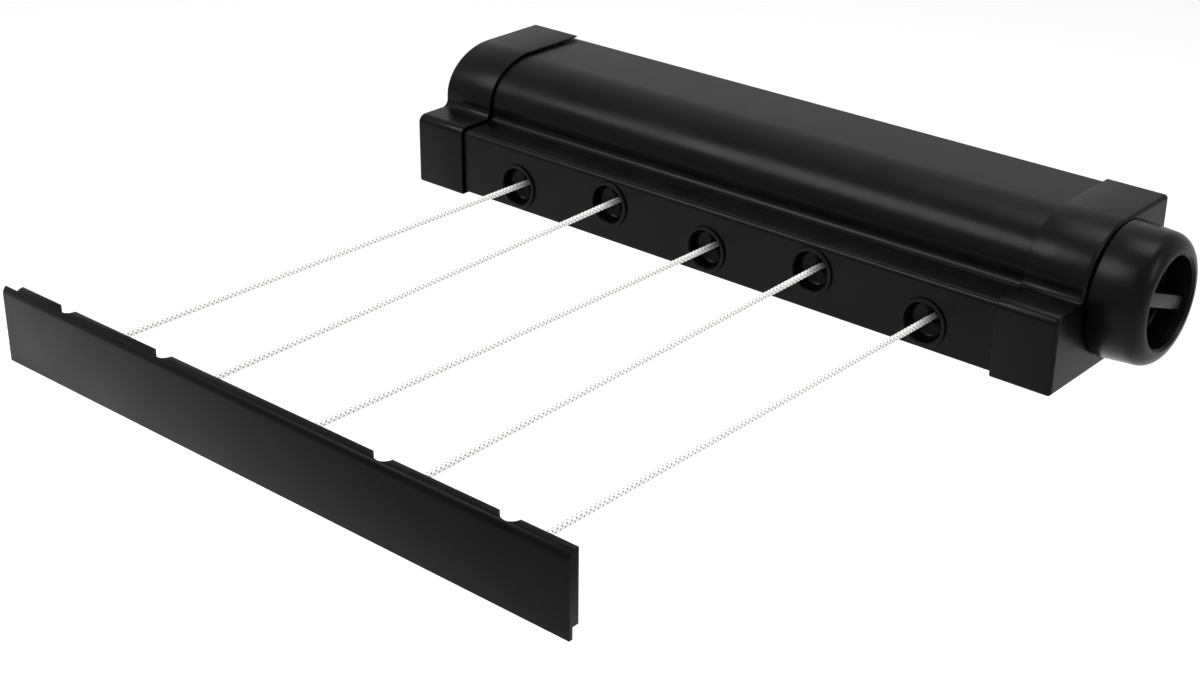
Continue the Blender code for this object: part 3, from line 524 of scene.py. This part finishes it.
def make_cap(name, outer_end, inner_edge, side):
    """End cap: rounded at its closed end, with a softened rim over the cover."""
    lip = 0.0005
    turns = 8
    sections = [(inner_edge, lip)]
    for i in range(1, 4):
        angle = math.radians(30 * i)
        sections.append((inner_edge + side * lip * (1 - math.cos(angle)), lip * (1 - math.sin(angle))))
    start = outer_end - side * CAP_ROUNDING
    sections.append((0.5 * (inner_edge + start), 0.0))
    for i in range(turns + 1):
        angle = math.radians(90 * i / turns)
        sections.append((start + side * CAP_ROUNDING * math.sin(angle), CAP_ROUNDING * (1 - math.cos(angle))))
    shape, rows = shell_skin(sections)
    shape.faces.new(rows[-1])
    bmesh.ops.recalc_face_normals(shape, faces=shape.faces)
    middle = Vector((0.5 * (inner_edge + outer_end), 0.5 * FRONT_Y, 0))
    face = shape.faces[0]
    if face.normal.dot(face.calc_center_median() - middle) < 0:
        bmesh.ops.reverse_faces(shape, faces=shape.faces)
    mesh = bpy.data.meshes.new(name)
    shape.to_mesh(mesh)
    shape.free()
    cutters = []
    if side > 0:
        bore = [(0.0, outer_end + CUT_MARGIN), (STEM_RADIUS + 0.0004, outer_end + CUT_MARGIN),
                (STEM_RADIUS + 0.0004, outer_end - 3 * CAP_END_WALL), (0.0, outer_end - 3 * CAP_END_WALL)]
        cutters.append((turned(bore, (0, AXIS_Y, AXIS_Z), "X", 48, closed=False), "DIFFERENCE"))
    thick = ("SOLIDIFY", {"thickness": CAP_WALL - lip, "offset": -1.0, "use_even_offset": True})
    mesh = applied(applied(mesh, [thick]), [], cutters)
    mesh_object(name + "_shell", mesh, "black_plastic", "housing", [name], smooth=28)


def make_cover():
    """Long front shell with a seat for each line guide."""
    outer = housing_outline(COVER_INSET)
    inner = housing_outline(COVER_INSET + COVER_WALL)
    shell = prism(outer + inner[::-1], "X", COVER_START, COVER_END)
    cutters = []
    for x, height in zip(LINE_XS, EXIT_HEIGHTS):
        hole = [(0.0, GUIDE_SEAT_REACH), (GUIDE_BODY_RADIUS + GAP, GUIDE_SEAT_REACH),
                (GUIDE_BODY_RADIUS + GAP, -GUIDE_SEAT_REACH), (0.0, -GUIDE_SEAT_REACH)]
        cutters.append((turned(hole, (x, COVER_FRONT_Y, height), "Y", 64, closed=False), "DIFFERENCE"))
    mesh = applied(shell, [], cutters)
    mesh_object("front_cover_shell", mesh, "black_plastic", "housing", ["front_cover"], smooth=28)


def make_guides():
    """Dished eyelet round each line, with a rolled rim and a rounded throat."""
    lip = GAP + 0.0008
    profile = [
        (0.0115, -GAP, 0.0001),
        (GUIDE_BODY_RADIUS, -GAP, 0.0),
        (GUIDE_BODY_RADIUS, GUIDE_DEPTH, 0.0003),
        (0.0023, GUIDE_DEPTH, 0.0004),
        (0.0023, GUIDE_DEPTH - 0.0016, 0.0010),
        (0.0086, GUIDE_DEPTH - 0.0040, 0.0022),
        (0.0097, -lip, 0.0007),
        (0.0115, -lip, 0.0006),
    ]
    for i, (x, height) in enumerate(zip(LINE_XS, EXIT_HEIGHTS)):
        mesh = turned(rounded(profile, 0.0002, 5), (x, COVER_FRONT_Y, height), "Y", 72)
        name = "line_guide_%d" % (i + 1)
        mesh_object(name + "_dish", mesh, "black_plastic", "housing", [name], smooth=40)


# ---------------------------------------------------------------- knob
def make_knob():
    """Lock knob: rounded rim, deep well with a grip rib across it, stem into the housing."""
    face = RIGHT_END + KNOB_DEPTH
    base = RIGHT_END + 0.0005
    floor = RIGHT_END + KNOB_FLOOR
    shoulder = face - KNOB_RIM_RADIUS
    well = KNOB_FACE_RADIUS - KNOB_RIM_RADIUS
    back = floor - 0.0035
    front = [(0.0, floor, 0.0), (well - 0.003, floor, 0.0015), (well - 0.0012, face - 0.0012, 0.0)]
    front = rounded(front + [(well, face, 0.0)], 0.0, 6)
    rim = arc((well, shoulder), (KNOB_RIM_RADIUS, KNOB_RIM_RADIUS), 90, 0, 20)
    skirt = [
        (KNOB_BASE_RADIUS - 0.0001, base + 0.0012),
        (KNOB_BASE_RADIUS - 0.0004, base + 0.0004),
        (KNOB_BASE_RADIUS - 0.0010, base),
        (KNOB_BASE_RADIUS - 0.0026, base),
        (KNOB_FACE_RADIUS - 0.0030, back),
        (STEM_RADIUS + 0.0020, back),
        (STEM_RADIUS, back - 0.002),
        (STEM_RADIUS, STEM_END),
        (0.0018, STEM_END),
        (0.0018, STEM_END + 0.010),
        (0.0, STEM_END + 0.010),
    ]
    profile = front[:-1] + rim + skirt
    mesh = turned(profile, (0, AXIS_Y, AXIS_Z), "X", 128, closed=False)
    half = well - 0.0022
    outline = rounded([(-half, floor - 0.001), (half, floor - 0.001), (half, face - 0.003, 0.0015),
                       (-half, face - 0.003, 0.0015)], 0.0, 6)
    rib_shape = bmesh.new()
    rows = []
    for place, trim in ((-KNOB_RIB_WIDTH / 2, 0.0012), (-KNOB_RIB_WIDTH / 2 + 0.0004, 0.0003),
                        (-KNOB_RIB_WIDTH / 2 + 0.0012, 0.0), (KNOB_RIB_WIDTH / 2 - 0.0012, 0.0),
                        (KNOB_RIB_WIDTH / 2 - 0.0004, 0.0003), (KNOB_RIB_WIDTH / 2, 0.0012)):
        row = []
        for a, x in outline:
            row.append(rib_shape.verts.new((x - (trim if x > floor else 0.0), a, place)))
        rows.append(row)
    count = len(outline)
    for first, second in zip(rows, rows[1:]):
        for i in range(count):
            j = (i + 1) % count
            rib_shape.faces.new((first[i], first[j], second[j], second[i]))
    rib_shape.faces.new(rows[0])
    rib_shape.faces.new(rows[-1])
    rib = clean_mesh("rib", rib_shape)
    rib.transform(Matrix.Translation((0, AXIS_Y, AXIS_Z)) @ Matrix.Rotation(KNOB_RIB_ANGLE, 4, "X"))
    mesh = applied(mesh, [], [(rib, "UNION")])
    mesh_object("lock_knob", mesh, "black_plastic", "knob", ["knob"], smooth=35)


# ---------------------------------------------------------------- pull bar
def notch_cutter(x):
    """Half-round groove down the back of the bar's top edge."""
    top = BAR_TOP + CUT_MARGIN
    floor = BAR_TOP - NOTCH_DEPTH
    middle = Matrix.Translation((x, BAR_REAR_Y, (top + floor) / 2))
    stretch = Matrix.Diagonal((NOTCH_HALF_WIDTH, NOTCH_REACH, 1.0, 1.0))
    shape = bmesh.new()
    bmesh.ops.create_cone(shape, cap_ends=True, segments=96, radius1=1.0, radius2=1.0,
                          depth=top - floor, matrix=middle @ stretch)
    return clean_mesh("notch", shape)


def scoop_cutter(x):
    """Ball that takes a shallow lens out of the bar's front top edge."""
    shape = bmesh.new()
    bmesh.ops.create_uvsphere(shape, u_segments=48, v_segments=24, radius=SCOOP_RADIUS)
    bmesh.ops.translate(shape, verts=shape.verts,
                        vec=(x, BAR_FRONT_Y + SCOOP_CENTRE[0], BAR_TOP + SCOOP_CENTRE[1]))
    return clean_mesh("scoop", shape)


def box(x0, x1, y0, y1, z0, z1):
    return prism([(x0, z0), (x1, z0), (x1, z1), (x0, z1)], "Y", y0, y1)


SOFT_EDGES = ("BEVEL", {"width": 0.00035, "segments": 2, "limit_method": "ANGLE",
                        "angle_limit": math.radians(40), "harden_normals": False})


def make_bar():
    """Pull bar: a front shell with a pocket, and the plate that closes it."""
    front = BAR_FRONT_Y
    lip = front + BAR_LIP_THICKNESS
    section = [(front, BAR_BOTTOM)]
    section += arc((front + BAR_TOP_ROUNDING, BAR_TOP - BAR_TOP_ROUNDING),
                   (BAR_TOP_ROUNDING, BAR_TOP_ROUNDING), 180, 90, 14)
    section += [(BAR_REAR_Y, BAR_TOP), (BAR_REAR_Y, BAR_BOX_BOTTOM), (lip, BAR_BOX_BOTTOM), (lip, BAR_BOTTOM)]
    pocket_top = BAR_TOP - BAR_TOP_RIM
    pocket = box(BAR_BOX_LEFT + BAR_RIM, BAR_RIGHT - BAR_RIM, front + BAR_FRONT_WALL, BAR_REAR_Y + CUT_MARGIN,
                 BAR_BOX_BOTTOM + BAR_RIM, pocket_top)
    step = box(BAR_LEFT - CUT_MARGIN, BAR_BOX_LEFT, lip, BAR_REAR_Y + CUT_MARGIN,
               BAR_BOTTOM - CUT_MARGIN, BAR_TOP + CUT_MARGIN)
    shapes = [pocket, step] + [notch_cutter(x) for x in NOTCH_XS] + [scoop_cutter(x) for x in SCOOP_XS]
    cutters = [(shape, "DIFFERENCE") for shape in shapes]
    mesh = applied(prism(section, "X", BAR_LEFT, BAR_RIGHT), [SOFT_EDGES], cutters)
    mesh_object("bar_front_shell", mesh, "black_plastic", "bar", ["bar_front"], "bar_plastic", smooth=35)

    inset = BAR_RIM + GAP
    plate = box(BAR_BOX_LEFT + inset, BAR_RIGHT - inset, BAR_REAR_Y - BAR_BACK_THICKNESS, BAR_REAR_Y,
                BAR_BOX_BOTTOM + inset, pocket_top - GAP)
    holes = []
    for x in LINE_XS:
        hole = [(0.0, BAR_HOLE_REACH), (LINE_RADIUS + GAP, BAR_HOLE_REACH),
                (LINE_RADIUS + GAP, -BAR_HOLE_REACH), (0.0, -BAR_HOLE_REACH)]
        holes.append((turned(hole, (x, BAR_REAR_Y, LINE_BAR_HEIGHT), "Y", 32, closed=False), "DIFFERENCE"))
    mesh = applied(plate, [SOFT_EDGES], holes)
    mesh_object("bar_back_plate", mesh, "black_plastic", "bar", ["bar_back"], "bar_plastic", smooth=35)


# ---------------------------------------------------------------- wound line on the spools
def make_winding(number, x):
    """Turns of line side by side on a spool, as one helical surface."""
    pitch = 2 * LINE_RADIUS
    turns = round(2 * WINDING_HALF / pitch)
    pitch = 2 * WINDING_HALF / turns
    around, across = 60, turns * 8
    shape = bmesh.new()
    rows = []
    for i in range(around):
        angle = 2 * math.pi * i / around
        row = [shape.verts.new((x - WINDING_HALF, AXIS_Y + WINDING_BORE * math.cos(angle),
                                AXIS_Z + WINDING_BORE * math.sin(angle)))]
        for k in range(across + 1):
            place = 2 * WINDING_HALF * k / across
            phase = (place / pitch + i / around) % 1.0 - 0.5
            drop = LINE_RADIUS * (1 - math.sqrt(max(1 - (2 * phase) ** 2, 0.04)))
            radius = WINDING_RADIUS - drop
            row.append(shape.verts.new((x - WINDING_HALF + place, AXIS_Y + radius * math.cos(angle),
                                        AXIS_Z + radius * math.sin(angle))))
        row.append(shape.verts.new((x + WINDING_HALF, AXIS_Y + WINDING_BORE * math.cos(angle),
                                    AXIS_Z + WINDING_BORE * math.sin(angle))))
        rows.append(row)
    for i in range(around):
        first, second = rows[i], rows[(i + 1) % around]
        for k in range(len(first)):
            j = (k + 1) % len(first)
            shape.faces.new((first[k], first[j], second[j], second[k]))
    name = "winding_%d" % number
    mesh_object(name + "_turns", clean_mesh("winding", shape), "white_line", "drum", [name], smooth=70)


# ---------------------------------------------------------------- carried-over CAD nodes
def dress_cad_nodes():
    for subpart in frame["record"]["subparts"]:
        piece = frame["nodes"].get(subpart["node"])
        if piece is None:
            continue
        finish = MATERIALS[subpart["material_slot"]]
        if not piece.data.materials:
            piece.data.materials.append(finish)
        for i in range(len(piece.data.materials)):
            piece.data.materials[i] = finish


# ---------------------------------------------------------------- floor, lights, world
FLOOR_Z = -0.5


def make_floor():
    shape = bmesh.new()
    bmesh.ops.create_grid(shape, x_segments=1, y_segments=1, size=14.0)
    mesh = bpy.data.meshes.new("floor")
    shape.to_mesh(mesh)
    shape.free()
    floor = bpy.data.objects.new("floor", mesh)
    floor.location = (0, 0, FLOOR_Z)
    bpy.context.scene.collection.objects.link(floor)
    paint = bpy.data.materials.new("pale_floor")
    paint.use_nodes = True
    shader = paint.node_tree.nodes["Principled BSDF"]
    shader.inputs["Base Color"].default_value = (0.95, 0.95, 0.95, 1.0)
    shader.inputs["Roughness"].default_value = 0.9
    shader.inputs["Specular IOR Level"].default_value = 0.0
    mesh.materials.append(paint)


def area_light(name, place, target, size, power):
    light = bpy.data.lights.new(name, "AREA")
    light.shape = "RECTANGLE"
    light.size, light.size_y = size
    light.energy = power
    holder = bpy.data.objects.new(name, light)
    bpy.context.scene.collection.objects.link(holder)
    holder.location = place
    aim = Vector(target) - Vector(place)
    holder.rotation_euler = aim.to_track_quat("-Z", "Y").to_euler()


def make_lights():
    middle = (0.0, -0.15, 0.0)
    area_light("key", (-1.3, -1.5, 1.9), middle, (1.0, 1.0), 30.0)
    area_light("side", (1.9, 0.3, 0.9), middle, (0.5, 1.0), 8.0)
    area_light("top", (0.0, 0.5, 2.2), middle, (1.6, 0.9), 26.0)
    world = bpy.data.worlds.new("studio")
    world.use_nodes = True
    world.node_tree.nodes["Background"].inputs["Color"].default_value = (1.0, 1.0, 1.0, 1.0)
    world.node_tree.nodes["Background"].inputs["Strength"].default_value = 0.75
    bpy.context.scene.world = world
    bpy.context.scene.view_settings.view_transform = "Standard"


make_camera()
make_lines()
make_cap("left_cap", LEFT_END, LEFT_CAP_EDGE, -1)
make_cap("right_cap", RIGHT_END, RIGHT_CAP_EDGE, 1)
make_cover()
make_guides()
make_knob()
make_bar()
for number, line_x in enumerate(LINE_XS, 1):
    make_winding(number, line_x)
dress_cad_nodes()
make_floor()
make_lights()
